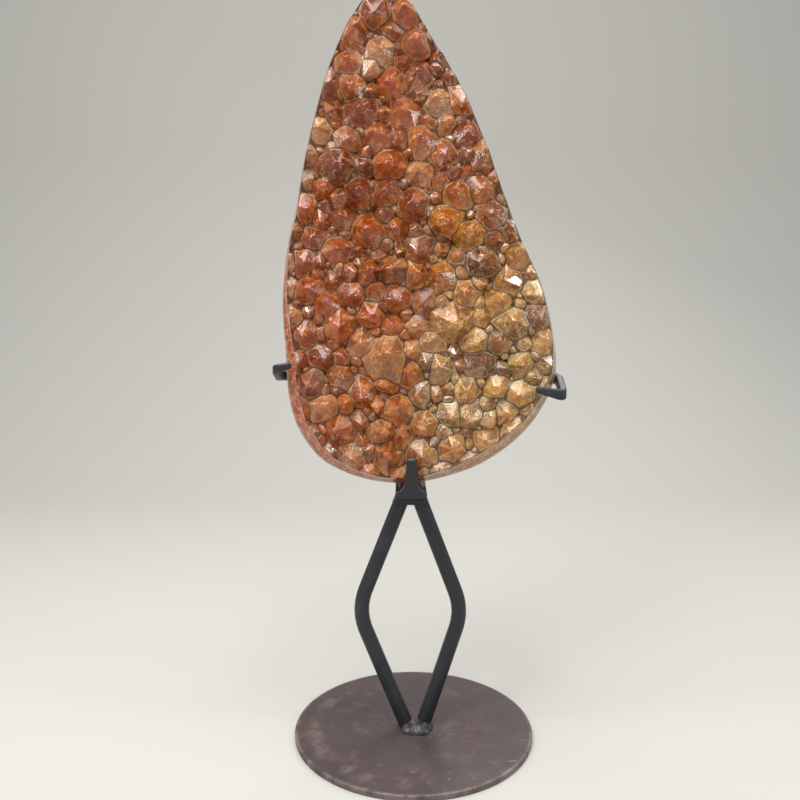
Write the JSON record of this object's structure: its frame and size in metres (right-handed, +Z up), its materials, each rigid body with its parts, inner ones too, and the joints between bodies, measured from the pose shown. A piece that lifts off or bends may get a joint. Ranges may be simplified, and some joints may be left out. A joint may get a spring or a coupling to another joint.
{
  "type": "raw citrine on stand",
  "caption": "Raw teardrop slab of citrine crystals with a sawn, polished rim, held upright by a black steel stand with a front prong, two side claws and a round base.",
  "frame": {"origin": "centre of the base disc's flat underside", "axes": "+Z up, -Y towards the crystal face (the front), +X to the right as seen from the front"},
  "size_m": [0.175, 0.1524, 0.4653],
  "materials": {
    "citrine": "faceted natural crystal, clear to milky",
    "black_steel": "matt black",
    "worn_steel": "dark brown steel, scratched and rubbed",
    "weld_metal": "blackened weld bead"
  },
  "bodies": {
    "root": {"citrine_cluster": "citrine", "base_disc": "worn_steel", "left_rod": "black_steel", "right_rod": "black_steel", "base_weld": "weld_metal", "saddle": "black_steel", "back_upright": "black_steel", "cross_bar": "black_steel"}
  },
  "joints": []
}
